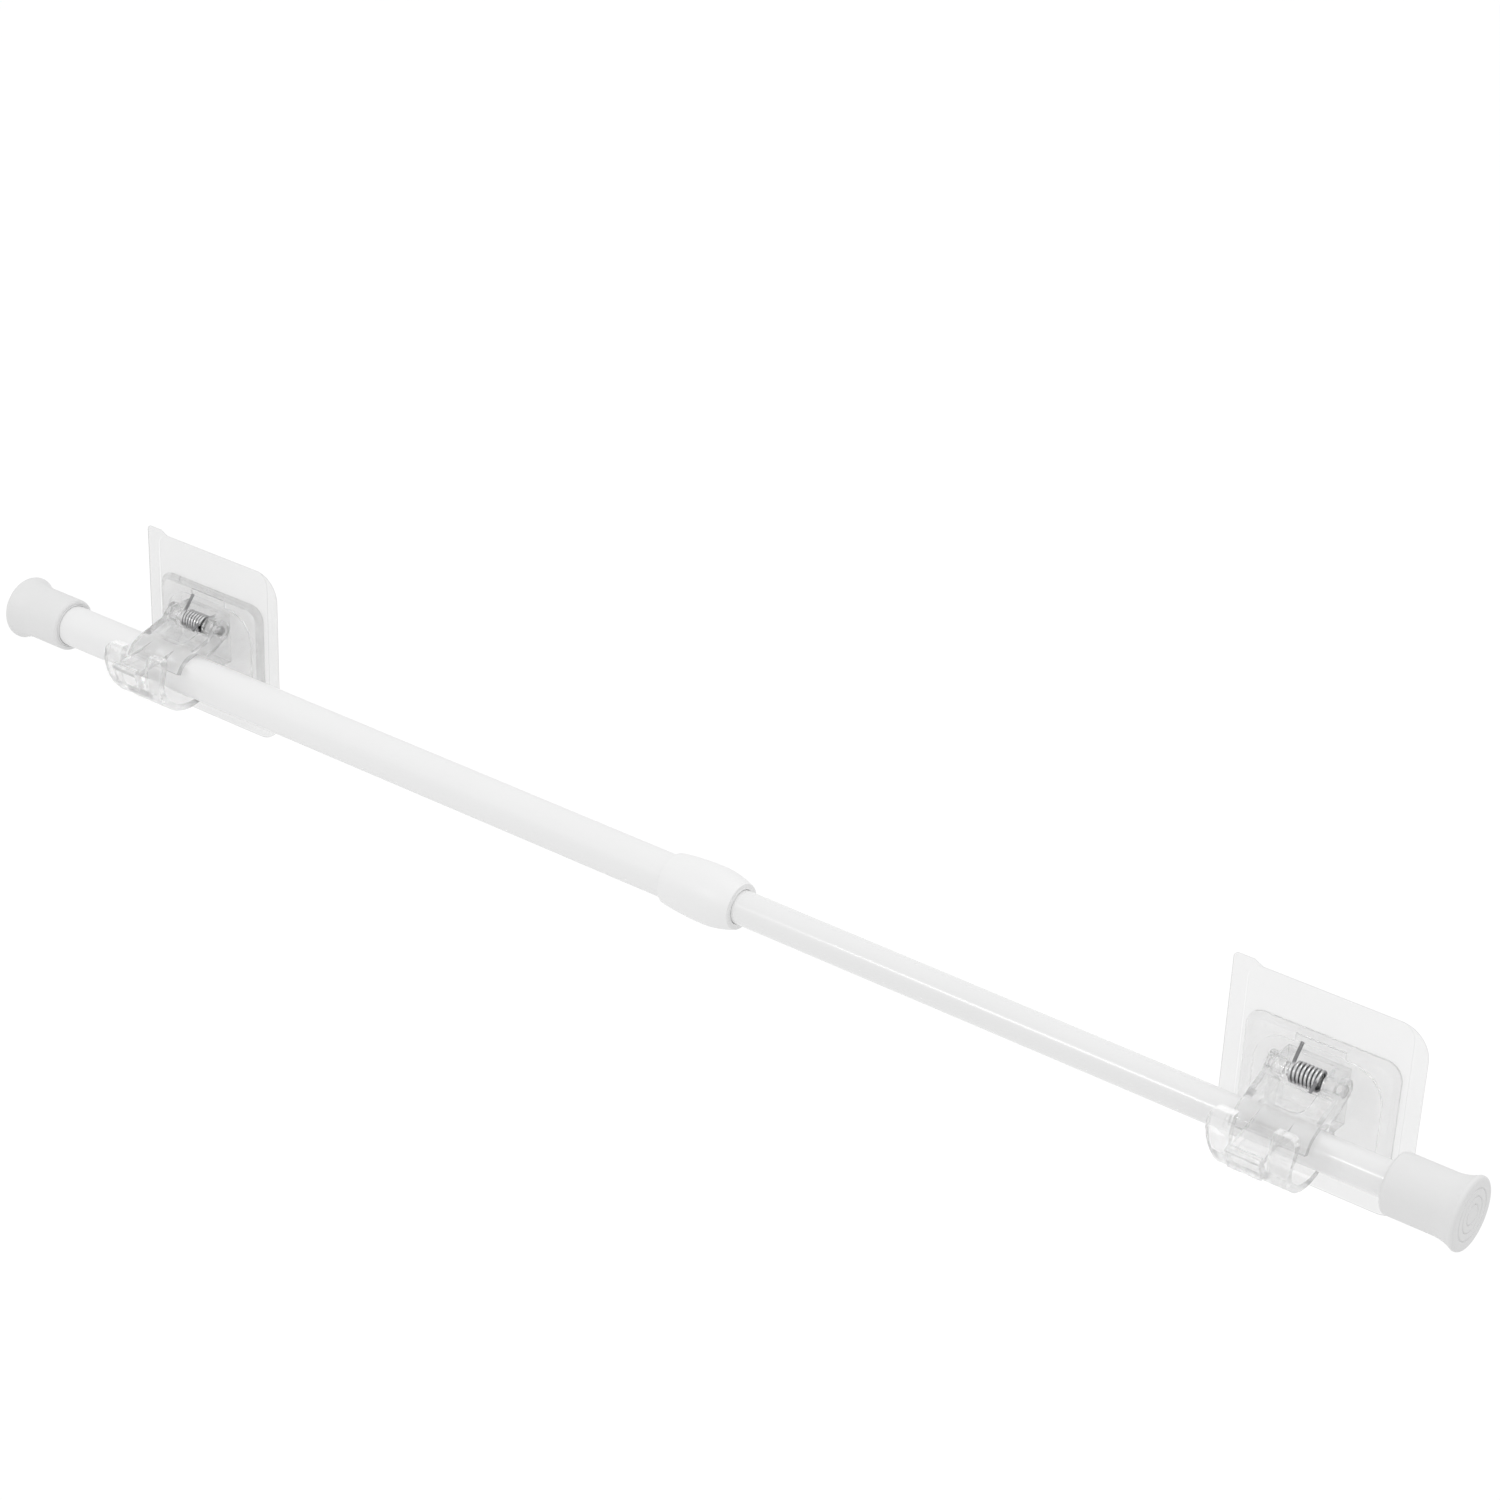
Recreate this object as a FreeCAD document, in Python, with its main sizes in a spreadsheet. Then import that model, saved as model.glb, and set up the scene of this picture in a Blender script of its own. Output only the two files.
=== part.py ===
# Spring tension rod: two telescoping tubes with a twist lock and a spring inside, rubber end caps,
# and two clear self-adhesive clips that hold the rod to a wall with sprung levers.
# Millimetres. X runs along the rod, Y into the wall, Z up. The origin is the middle of the left end face.
import FreeCAD, Part
import math
import os
import re
import Sketcher

document = FreeCAD.newDocument("spring_tension_rod")
sizes = document.addObject("Spreadsheet::Sheet", "sizes")

driving_sizes = [
    # tubes
    ("outer_diameter", 13.0, "thicker tube, outside"),
    ("outer_wall", 0.6, "wall of the thicker tube"),
    ("outer_tube_length", 287.0, "cut length of the thicker tube"),
    ("tube_play", 0.9, "gap all round between the tubes"),
    ("inner_wall", 0.6, "wall of the thinner tube"),
    ("inner_tube_length", 281.5, "cut length of the thinner tube"),
    ("tube_overlap", 53.5, "how far the thinner tube reaches into the thicker one"),
    ("tube_edge", 0.15, "broken edge at the cut ends"),
    ("crimp_depth", 0.35, "ring crimp over the bush"),
    ("crimp_half", 0.9, "half the width of the crimp"),
    # collar
    ("collar_length", 24.0, "collar, end to end"),
    ("collar_lip", 4.0, "closed end of the collar beyond the thicker tube"),
    ("collar_wall_start", 1.15, "collar wall at its left end"),
    ("collar_wall_full", 2.15, "collar wall at its fullest"),
    ("collar_full_at", 14.0, "where the collar is fullest, from its left end"),
    ("collar_rim_wall", 1.45, "wall left round the thinner tube at the right end"),
    ("collar_gap", 0.3, "gap between the collar and the thinner tube"),
    ("press_fit", 0.02, "gap of a pressed or glued seat"),
    # end caps
    ("cap_length", 21.5, "end cap, end to end"),
    ("cap_floor", 2.5, "end wall of the cap"),
    ("cap_wall", 1.9, "cap sleeve wall on the thicker tube"),
    ("cap_flare", 1.6, "how far the flare stands out past the sleeve"),
    ("cap_flare_length", 7.5, "length of the flare"),
    ("cap_rim", 1.2, "straight edge of the flare at the end face"),
    ("cap_mouth_round", 1.1, "rounding of the cap mouth"),
    ("cap_recess", 0.55, "gap round the tube at the mouth"),
    ("cap_recess_depth", 2.0, "depth of that gap"),
    ("cap_edge_round", 0.9, "rounding of the end face edge"),
    ("ring_groove", 0.3, "depth and half width of the rings in the end face"),
    ("ring_radius_inner", 2.8, "inner ring"),
    ("ring_radius_middle", 4.9, "middle ring"),
    ("ring_radius_outer", 7.0, "outer ring"),
    # twist lock
    ("shoe_gap", 0.08, "gap between the shoe and the bore"),
    ("shoe_length", 22.0, "split shoe, end to end"),
    ("shoe_slit", 1.0, "width of a slit in the shoe"),
    ("shoe_uncut", 5.0, "solid ring at the left end of the shoe"),
    ("shoe_space", 11.0, "free length between the shoe and the bush"),
    ("cone_small", 2.3, "radius of the spindle cone at its small end"),
    ("cone_large", 3.5, "radius of the spindle cone at its large end"),
    ("cone_gap", 0.08, "gap between the cone and the shoe"),
    ("spindle_head", 1.4, "length of the spindle head"),
    ("shank_width", 3.6, "spindle shank across its flats"),
    ("shank_gap", 0.06, "gap between the shank and the bush"),
    ("bush_length", 14.0, "bush inside the thinner tube"),
    ("bush_flange", 3.0, "bush flange outside the thinner tube"),
    ("bush_flange_gap", 0.2, "gap between the flange and the bore of the thicker tube"),
    ("spindle_seat", 1.6, "disc at the inner end of the spindle"),
    # spring in the thinner tube
    ("coil_wire", 0.9, "wire of the tension spring"),
    ("coil_gap", 0.35, "gap between the spring and the tube"),
    ("coil_turns", 8.0, "turns of the tension spring"),
    ("coil_length", 62.0, "length of the tension spring"),
    ("seat_gap", 0.1, "gap at each end of the tension spring"),
    ("stop_length", 10.0, "plug that the spring bears on"),
    ("stop_spigot", 5.0, "spigot of the plug inside the spring"),
    # places of the clips
    ("left_clip_x", 66.0, "middle of the left clip from the left end"),
    ("right_clip_from_end", 54.0, "middle of the right clip from the right end"),
    # wall film
    ("film_width", 57.0, "film, across"),
    ("film_height", 57.0, "film, up and down"),
    ("film_thickness", 0.5, "film with its adhesive"),
    ("film_corner", 8.5, "corner radius of the film"),
    ("film_margin", 12.0, "film above the plate"),
    ("film_border", 4.5, "bare border at each side of the adhesive"),
    ("adhesive_thickness", 0.25, "adhesive layer of the film"),
    ("tab_width", 6.0, "pull tab at the top left corner"),
    ("tab_rise", 1.4, "how far the pull tab stands up"),
    # clip base: plate
    ("rod_to_plate", 9.9, "thicker tube to the front of the plate"),
    ("plate_thickness", 2.2, "framed plate"),
    ("plate_width", 45.0, "plate, across"),
    ("plate_height", 38.0, "plate, up and down"),
    ("plate_corner", 5.0, "corner radius of the plate"),
    ("plate_bevel", 1.5, "bevel round the plate"),
    ("frame_width", 3.8, "frame round the sunk middle"),
    ("sunk_depth", 0.8, "depth of the sunk middle"),
    ("sunk_corner", 9.5, "corner radius of the sunk middle"),
    ("plate_rise", 9.0, "plate above the hinge"),
    ("leg_notch_width", 14.6, "notch in the frame for the upper spring leg"),
    ("leg_notch_height", 2.6, "that notch, up and down"),
    ("leg_notch_depth", 0.5, "that notch, deep"),
    # clip base: block and hinge
    ("block_width", 18.0, "block with its two cheeks"),
    ("block_foot", 1.5, "block below the rod axis"),
    ("neck_top", 6.0, "top of the wall behind the rod, above the axis"),
    ("hinge_back", 5.0, "hinge axis behind the thicker tube"),
    ("hinge_rise", 5.0, "hinge axis above the thicker tube"),
    ("cheek_radius", 3.4, "round ends of the cheeks and of the lever sides"),
    ("cheek_sweep", 45.0, "degrees below level that the front of a cheek stays round"),
    ("pin_radius", 1.8, "hinge pin in its bores"),
    ("pin_waist", 1.4, "hinge pin inside the spring"),
    ("pin_gap", 0.06, "gap of the hinge pin in its bores"),
    ("coil_room", 0.35, "gap between the torsion spring and its pocket"),
    ("cheek_wall", 3.4, "thickness of a cheek"),
    # clip base: cradle
    ("seat_clearance", 0.3, "gap between the rod and what holds it"),
    ("cradle_wall", 2.2, "wall of the cradle"),
    ("cradle_radius", 11.2, "inside radius of the wide curve in front"),
    ("seat_turn", 50.0, "degrees below level where the seat runs into that curve"),
    ("cradle_top", 10.0, "top of the front wall above the axis"),
    ("cradle_back_top", 1.5, "top of the wide back wall above the axis"),
    ("cradle_width", 21.0, "cradle at its bottom"),
    ("lug_width", 25.0, "front wall at its top"),
    ("lug_low", 5.0, "where the front wall starts to widen, below the axis"),
    ("lug_round", 2.4, "rounding of the lug corners"),
    ("notch_width", 11.4, "notch between the lugs"),
    ("notch_floor", 5.0, "notch floor below the axis"),
    # lever
    ("lever_width", 22.0, "lever across its sides"),
    ("lever_thickness", 1.8, "lever plate"),
    ("side_gap", 0.3, "gap between a side wall and the block"),
    ("side_depth", 3.6, "side walls below the plate"),
    ("lever_start", 0.8, "gap between the plate and the cheeks"),
    ("saddle_wrap", 50.0, "degrees that the saddle bends over the rod"),
    ("arch_room", 0.35, "extra gap between the side walls and the rod"),
    ("spring_pocket_width", 11.0, "pocket for the spring leg, across"),
    ("spring_pocket_length", 8.0, "pocket for the spring leg, along the lever"),
    ("spring_pocket_depth", 0.6, "pocket for the spring leg, deep"),
    ("tongue_width", 9.8, "tongue"),
    ("tongue_length", 15.2, "tongue beyond the saddle"),
    ("tongue_lift", 2.0, "how far the tongue rises over that length"),
    ("press_tab", 2.2, "thickness of the press tab"),
    ("press_tab_drop", 4.2, "press tab below the tongue"),
    ("press_tab_rise", 0.8, "press tab above the tongue"),
    # torsion spring
    ("spring_wire", 1.0, "wire of the torsion spring"),
    ("spring_radius", 2.7, "middle radius of its coil"),
    ("spring_turns", 7.0, "whole turns"),
    ("spring_pitch", 1.12, "turn to turn"),
    ("spring_start", 140.0, "degrees, where the upper leg leaves the coil"),
    ("upper_leg", 7.4, "upper leg"),
    ("lower_leg", 9.0, "lower leg"),
    ("leg_gap", 0.15, "gap between the lower leg and the pocket floor"),
]

for row, (alias, number, note) in enumerate(driving_sizes, start=1):
    sizes.set(f"A{row}", alias)
    sizes.set(f"B{row}", str(number))
    sizes.setAlias(f"B{row}", alias)
    sizes.set(f"C{row}", note)
document.recompute()

size_names = re.compile(r"\b(" + "|".join(alias for alias, number, note in driving_sizes) + r")\b")

# sizes that follow from the driving ones
outer_radius = "(outer_diameter / 2)"
bore_radius = f"({outer_radius} - outer_wall)"
inner_radius = f"({bore_radius} - tube_play)"
inner_bore = f"({inner_radius} - inner_wall)"
outer_end_x = "(cap_floor + outer_tube_length)"
inner_start_x = f"({outer_end_x} - tube_overlap)"
inner_end_x = f"({inner_start_x} + inner_tube_length)"
right_end_x = f"({inner_end_x} + cap_floor)"
right_clip_x = f"({right_end_x} - right_clip_from_end)"
hinge_y = f"({outer_radius} + hinge_back)"
hinge_z = f"({outer_radius} + hinge_rise)"
plate_front = f"({outer_radius} + rod_to_plate)"
plate_back = f"({plate_front} + plate_thickness)"
plate_top = f"({hinge_z} + plate_rise)"
film_back = f"({plate_back} + film_thickness)"
film_top = f"({plate_top} + film_margin)"
seat_radius = f"({outer_radius} + seat_clearance)"
saddle_middle = f"({seat_radius} + lever_thickness / 2)"
hinge_reach = f"sqrt({hinge_y} * {hinge_y} + {hinge_z} * {hinge_z})"
seat_along = f"sqrt({hinge_y} * {hinge_y} + {hinge_z} * {hinge_z} - {saddle_middle} * {saddle_middle})"
lever_slope = f"(atan({hinge_z} / {hinge_y}) - asin({saddle_middle} / {hinge_reach}))"
lip_along = f"({seat_along} + {seat_radius} * sin(saddle_wrap * 1 deg))"
lip_drop = f"({saddle_middle} - {seat_radius} * cos(saddle_wrap * 1 deg))"
lip_reach = f"sqrt({lip_along} * {lip_along} + {lip_drop} * {lip_drop})"
thin_seat = f"({inner_radius} + seat_clearance)"
curve_y = f"((cradle_radius - {seat_radius}) * cos(seat_turn * 1 deg))"
curve_z = f"((cradle_radius - {seat_radius}) * sin(seat_turn * 1 deg))"
thin_angle = (f"acos(({lip_reach} * {lip_reach} + {hinge_reach} * {hinge_reach} - {thin_seat} * {thin_seat})"
              f" / (2 * {lip_reach} * {hinge_reach}))")
thin_slope = f"(atan({hinge_z} / {hinge_y}) - {thin_angle} - atan({lip_drop} / {lip_along}))"
spring_half = "(spring_turns * spring_pitch / 2)"
spring_outer = "(spring_radius + spring_wire / 2)"
pocket_half = "(block_width / 2 - cheek_wall)"
side_start = "(block_width / 2 + side_gap)"
side_wall = f"(lever_width / 2 - {side_start})"


def tied(text):
    """The same expression with each driving size read from the sheet."""
    return size_names.sub(r"sizes.\1", text)


def number_of(text):
    """What an expression on the driving sizes comes to now."""
    found = sizes.evalExpression(tied(text))
    return float(getattr(found, "Value", found))


def bind(thing, path, text):
    """Tie one property to the sheet."""
    thing.setExpression(path, tied(text))


def new_piece(label):
    """An empty body, which names its own file."""
    body = document.addObject("PartDesign::Body", label)
    body.Label = label
    return body


def new_sketch(body, name, role, offset=None, turn=None):
    """A sketch on one of the body's own planes, moved off it or turned about X where asked."""
    sketch = body.newObject("Sketcher::SketchObject", name)
    plane = [feature for feature in body.Origin.OriginFeatures if feature.Role == role][0]
    sketch.AttachmentSupport = [(plane, "")]
    sketch.MapMode = "FlatFace"
    if offset:
        bind(sketch, "AttachmentOffset.Base.z", offset)
    if turn:
        start = FreeCAD.Rotation(FreeCAD.Vector(1, 0, 0), 10)
        sketch.AttachmentOffset = FreeCAD.Placement(FreeCAD.Vector(), start)
        bind(sketch, "AttachmentOffset.Rotation.Angle", turn)
    return sketch


def place_point(sketch, geometry, end, x, y):
    """Ties a point of the sketch to two expressions."""
    for kind, text, axis in (("DistanceX", x, -2), ("DistanceY", y, -1)):
        if text == "0":
            sketch.addConstraint(Sketcher.Constraint("PointOnObject", geometry, end, axis))
            continue
        index = sketch.addConstraint(Sketcher.Constraint(kind, -1, 1, geometry, end, number_of(text)))
        bind(sketch, f"Constraints[{index}]", text)


def arc_between(start, end, radius, left_turn):
    """The shorter arc from start to end, and which of its own ends comes first on the way."""
    chord = end - start
    half = chord.Length / 2
    rise = math.sqrt(max(radius * radius - half * half, 0.0))
    side = FreeCAD.Vector(-chord.y, chord.x, 0)
    side.normalize()
    centre = (start + end) * 0.5 + side * (rise if left_turn else -rise)
    first, last = (start, end) if left_turn else (end, start)
    angles = [math.atan2(point.y - centre.y, point.x - centre.x) for point in (first, last)]
    circle = Part.Circle(centre, FreeCAD.Vector(0, 0, 1), radius)
    return Part.ArcOfCircle(circle, angles[0], angles[1]), (1, 2) if left_turn else (2, 1)


def outline(sketch, corners):
    """A closed outline. A corner is (x, y), or (x, y, radius, "left" or "right") if an arc leads to it."""
    points = [FreeCAD.Vector(number_of(corner[0]), number_of(corner[1]), 0) for corner in corners]
    ends = []
    for index, corner in enumerate(corners):
        before = points[index - 1]
        here = points[index]
        if len(corner) == 2:
            shape, order = Part.LineSegment(before, here), (1, 2)
        else:
            shape, order = arc_between(before, here, number_of(corner[2]), corner[3] == "left")
        geometry = sketch.addGeometry(shape, False)
        ends.append((geometry, order))
    for index, corner in enumerate(corners):
        geometry, order = ends[index]
        following, next_order = ends[(index + 1) % len(ends)]
        sketch.addConstraint(Sketcher.Constraint("Coincident", geometry, order[1], following, next_order[0]))
        place_point(sketch, geometry, order[1], corner[0], corner[1])
        if len(corner) == 4:
            radius = Sketcher.Constraint("Radius", geometry, number_of(corner[2]))
            bind(sketch, f"Constraints[{sketch.addConstraint(radius)}]", corner[2])


def rounded(left, right, low, high, corner):
    """Corners of a box with its edges rounded, anticlockwise."""
    return [(f"{right} - {corner}", low),
            (right, f"{low} + {corner}", corner, "left"), (right, f"{high} - {corner}"),
            (f"{right} - {corner}", high, corner, "left"), (f"{left} + {corner}", high),
            (left, f"{high} - {corner}", corner, "left"), (left, f"{low} + {corner}"),
            (f"{left} + {corner}", low, corner, "left")]


def circle(sketch, x, y, radius):
    """A round hole or boss."""
    centre = FreeCAD.Vector(number_of(x), number_of(y), 0)
    shape = Part.Circle(centre, FreeCAD.Vector(0, 0, 1), number_of(radius))
    geometry = sketch.addGeometry(shape, False)
    place_point(sketch, geometry, 3, x, y)
    index = sketch.addConstraint(Sketcher.Constraint("Radius", geometry, number_of(radius)))
    bind(sketch, f"Constraints[{index}]", radius)


def wire_section(sketch, x, y, radius):
    """A six-sided section of round wire: corners just outside the wire's own radius keep its area."""
    corner = f"(({radius}) * 1.1)"
    outline(sketch, [
        (f"{x} + {corner}", y), (f"{x} + {corner} / 2", f"{y} + {corner} * sqrt(3) / 2"),
        (f"{x} - {corner} / 2", f"{y} + {corner} * sqrt(3) / 2"), (f"{x} - {corner}", y),
        (f"{x} - {corner} / 2", f"{y} - {corner} * sqrt(3) / 2"),
        (f"{x} + {corner} / 2", f"{y} - {corner} * sqrt(3) / 2")])


def revolve(body, name, corners, cut=False):
    """Turns an outline of (along, radius) corners about the piece's X axis."""
    sketch = new_sketch(body, name + "_outline", "XY_Plane")
    outline(sketch, corners)
    kind = "PartDesign::Groove" if cut else "PartDesign::Revolution"
    feature = body.newObject(kind, name)
    feature.Profile = sketch
    feature.ReferenceAxis = (sketch, ["H_Axis"])
    feature.Angle = 360.0
    return feature


def extrude(body, name, sketch, length, cut=False, both=False, back=False):
    """Pads a sketch, or cuts with it."""
    feature = body.newObject("PartDesign::Pocket" if cut else "PartDesign::Pad", name)
    feature.Profile = sketch
    feature.SideType = "Symmetric" if both else "One side"
    feature.Reversed = back
    bind(feature, "Length", length)
    return feature


def place(body, x, y="0", z="0", angle=None):
    """Puts a piece in the rod's frame, turned about X where asked."""
    if angle:
        start = FreeCAD.Rotation(FreeCAD.Vector(1, 0, 0), 10)
        body.Placement = FreeCAD.Placement(FreeCAD.Vector(), start)
        bind(body, "Placement.Rotation.Angle", angle)
    bind(body, "Placement.Base.x", x)
    bind(body, "Placement.Base.y", y)
    bind(body, "Placement.Base.z", z)


pieces = []


def make_tubes():
    """Two drawn tubes. The thinner one is crimped over the bush that carries the lock."""
    body = new_piece("outer_tube")
    revolve(body, "drawn_tube", [
        ("tube_edge", bore_radius), ("outer_tube_length - tube_edge", bore_radius),
        ("outer_tube_length", f"{bore_radius} + tube_edge"),
        ("outer_tube_length", f"{outer_radius} - tube_edge"),
        ("outer_tube_length - tube_edge", outer_radius), ("tube_edge", outer_radius),
        ("0", f"{outer_radius} - tube_edge"), ("0", f"{bore_radius} + tube_edge")])
    place(body, "cap_floor")
    pieces.append(body)

    crimp = "(bush_length / 2)"
    body = new_piece("inner_tube")
    revolve(body, "drawn_tube", [
        ("0", inner_bore), (f"{crimp} - 2 * crimp_half", inner_bore),
        (f"{crimp} - crimp_half", f"{inner_bore} - crimp_depth"),
        (f"{crimp} + crimp_half", f"{inner_bore} - crimp_depth"),
        (f"{crimp} + 2 * crimp_half", inner_bore), ("inner_tube_length", inner_bore),
        ("inner_tube_length", f"{inner_radius} - tube_edge"),
        ("inner_tube_length - tube_edge", inner_radius),
        (f"{crimp} + 2 * crimp_half", inner_radius),
        (f"{crimp} + crimp_half", f"{inner_radius} - crimp_depth"),
        (f"{crimp} - crimp_half", f"{inner_radius} - crimp_depth"),
        (f"{crimp} - 2 * crimp_half", inner_radius), ("0", inner_radius)])
    place(body, inner_start_x)
    pieces.append(body)


def make_collar():
    """Barrel-shaped moulding on the end of the thicker tube. Its right end wall guides the thinner one."""
    start_radius = f"({outer_radius} + collar_wall_start)"
    full_radius = f"({outer_radius} + collar_wall_full)"
    rim_radius = f"({inner_radius} + collar_gap + collar_rim_wall)"
    left_rise = "(collar_wall_full - collar_wall_start)"
    right_rise = f"({full_radius} - {rim_radius})"
    right_run = "(collar_length - collar_full_at)"
    left_curve = f"((collar_full_at * collar_full_at + {left_rise} * {left_rise}) / (2 * {left_rise}))"
    right_curve = f"(({right_run} * {right_run} + {right_rise} * {right_rise}) / (2 * {right_rise}))"
    body = new_piece("tube_collar")
    revolve(body, "barrel", [
        ("0", f"{outer_radius} + press_fit"),
        ("collar_length - collar_lip", f"{outer_radius} + press_fit"),
        ("collar_length - collar_lip", f"{inner_radius} + collar_gap"),
        ("collar_length", f"{inner_radius} + collar_gap"), ("collar_length", rim_radius),
        ("collar_full_at", full_radius, right_curve, "left"), ("0", start_radius, left_curve, "left")])
    place(body, f"{outer_end_x} + collar_lip - collar_length")
    pieces.append(body)


def make_cap(label, tube_radius, place_x, angle):
    """Rubber cap: a sleeve with a rounded mouth, a hollow flare and three rings in the end face."""
    sleeve = f"({outer_radius} + cap_wall)"
    flare = f"({sleeve} + cap_flare)"
    flare_run = "(cap_flare_length - cap_rim)"
    flare_curve = f"(({flare_run} * {flare_run} + cap_flare * cap_flare) / (2 * cap_flare))"
    body = new_piece(label)
    revolve(body, "sleeve", [
        ("0", "0"), ("cap_floor", "0"), ("cap_floor", f"{tube_radius} + press_fit"),
        ("cap_length - cap_recess_depth", f"{tube_radius} + press_fit"),
        ("cap_length - cap_recess_depth", f"{tube_radius} + cap_recess"),
        ("cap_length", f"{tube_radius} + cap_recess"),
        ("cap_length", f"{sleeve} - cap_mouth_round"),
        ("cap_length - cap_mouth_round", sleeve, "cap_mouth_round", "left"),
        ("cap_flare_length", sleeve), ("cap_rim", flare, flare_curve, "right"),
        ("cap_edge_round", flare), ("0", f"{flare} - cap_edge_round", "cap_edge_round", "left")])
    for name in ("inner", "middle", "outer"):
        radius = f"ring_radius_{name}"
        revolve(body, f"{name}_ring", [
            ("0", f"{radius} - ring_groove"), ("ring_groove", radius), ("0", f"{radius} + ring_groove")],
            cut=True)
    turned = FreeCAD.Rotation(FreeCAD.Vector(0, 0, 1), angle)
    body.Placement = FreeCAD.Placement(FreeCAD.Vector(), turned)
    bind(body, "Placement.Base.x", place_x)
    pieces.append(body)


def make_lock():
    """Twist lock: turning the tubes draws the cone of the spindle through the split shoe, which grips."""
    shoe_x = f"({inner_start_x} - bush_flange - shoe_space - shoe_length)"
    shoe_radius = f"({bore_radius} - shoe_gap)"
    body = new_piece("lock_shoe")
    revolve(body, "sleeve", [
        ("0", "cone_large + cone_gap"), ("shoe_length", "cone_small + cone_gap"),
        ("shoe_length", f"{shoe_radius} - 2 * tube_edge"), ("shoe_length - 2 * tube_edge", shoe_radius),
        ("2 * tube_edge", shoe_radius), ("0", f"{shoe_radius} - 2 * tube_edge")])
    document.recompute()
    sketch = new_sketch(body, "slit_outline", "XY_Plane")
    outline(sketch, [
        ("shoe_uncut", "0 - shoe_slit / 2"), ("shoe_length * 2", "0 - shoe_slit / 2"),
        ("shoe_length * 2", "shoe_slit / 2"), ("shoe_uncut", "shoe_slit / 2")])
    slit = extrude(body, "slit", sketch, f"{shoe_radius} * 3", cut=True, both=True)
    document.recompute()
    slits = body.newObject("PartDesign::PolarPattern", "slits")
    slits.Originals = [slit]
    slits.Axis = ([feature for feature in body.Origin.OriginFeatures if feature.Role == "X_Axis"][0], [""])
    slits.Angle = 180
    slits.Occurrences = 2
    body.Tip = slits
    place(body, shoe_x)
    pieces.append(body)

    shank_round = "(shank_width / 2)"
    shank_end = "(shoe_length + shoe_space + bush_flange + bush_length + 1.5 * spindle_seat)"
    body = new_piece("lock_screw")
    revolve(body, "cone", [
        ("0 - spindle_head", "0"), ("shoe_length", "0"), ("shoe_length", "cone_small"),
        ("0", "cone_large"), ("0 - spindle_head", "cone_large - tube_edge")])
    document.recompute()
    sketch = new_sketch(body, "shank_outline", "YZ_Plane", offset="shoe_length - cone_small")
    six_sided(sketch, "shank_width")
    extrude(body, "shank", sketch, f"{shank_end} - shoe_length + cone_small")
    revolve(body, "spring_seat", [
        (f"{shank_end} - spindle_seat", "0"), (shank_end, "0"), (shank_end, f"{inner_bore} - coil_gap"),
        (f"{shank_end} - spindle_seat", f"{inner_bore} - coil_gap")])
    revolve(body, "spigot", [
        (shank_end, "0"), (f"{shank_end} + stop_spigot", "0"),
        (f"{shank_end} + stop_spigot", f"{shank_round} - tube_edge"), (shank_end, shank_round)])
    place(body, shoe_x)
    pieces.append(body)

    crimp = "(bush_length / 2)"
    plug_radius = f"({inner_bore} - press_fit)"
    body = new_piece("spindle_bush")
    revolve(body, "plug", [
        ("0 - bush_flange", "0"), ("bush_length", "0"), ("bush_length", f"{plug_radius} - tube_edge"),
        ("bush_length - tube_edge", plug_radius), (f"{crimp} + 2 * crimp_half", plug_radius),
        (f"{crimp} + crimp_half", f"{plug_radius} - crimp_depth"),
        (f"{crimp} - crimp_half", f"{plug_radius} - crimp_depth"),
        (f"{crimp} - 2 * crimp_half", plug_radius), ("0", plug_radius),
        ("0", f"{bore_radius} - bush_flange_gap"),
        ("0 - bush_flange", f"{bore_radius} - bush_flange_gap")])
    document.recompute()
    sketch = new_sketch(body, "six_sided_bore_outline", "YZ_Plane", offset="0 - bush_flange * 2")
    six_sided(sketch, "shank_width + 2 * shank_gap")
    extrude(body, "six_sided_bore", sketch, "bush_length + bush_flange * 4", cut=True, back=True)
    place(body, inner_start_x)
    pieces.append(body)


def six_sided(sketch, across):
    """A hexagon about the middle, with flats above and below."""
    side = f"(({across}) / sqrt(3))"
    flat = f"(({across}) / 2)"
    outline(sketch, [
        (side, "0"), (f"{side} / 2", flat), (f"0 - {side} / 2", flat), (f"0 - {side}", "0"),
        (f"0 - {side} / 2", f"0 - {flat}"), (f"{side} / 2", f"0 - {flat}")])


def make_tension_spring():
    """Compression spring in the thinner tube, between the spindle and a plug pressed in the tube."""
    seat_x = f"({inner_start_x} + bush_length + 1.5 * spindle_seat)"
    wire_radius = "(coil_wire / 2)"
    body = new_piece("tension_spring")
    sketch = new_sketch(body, "wire_outline", "XY_Plane")
    wire_section(sketch, wire_radius, f"({inner_bore} - coil_gap - {wire_radius})", wire_radius)
    coil = body.newObject("PartDesign::AdditiveHelix", "coil")
    coil.Profile = sketch
    coil.ReferenceAxis = (sketch, ["H_Axis"])
    coil.Mode = "height-turns-angle"
    bind(coil, "Height", "coil_length - coil_wire")
    bind(coil, "Turns", "coil_turns")
    place(body, f"{seat_x} + seat_gap")
    pieces.append(body)

    body = new_piece("spring_stop")
    plug_radius = f"({inner_bore} - press_fit)"
    spigot_radius = f"({inner_bore} - coil_gap - coil_wire - seat_gap)"
    revolve(body, "plug", [
        ("0 - stop_spigot", "0"), ("stop_length", "0"), ("stop_length", f"{plug_radius} - tube_edge"),
        ("stop_length - tube_edge", plug_radius), ("0", plug_radius), ("0", spigot_radius),
        ("0 - stop_spigot + tube_edge", spigot_radius),
        ("0 - stop_spigot", f"{spigot_radius} - tube_edge")])
    place(body, f"{seat_x} + coil_length + 2 * seat_gap")
    pieces.append(body)


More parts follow.
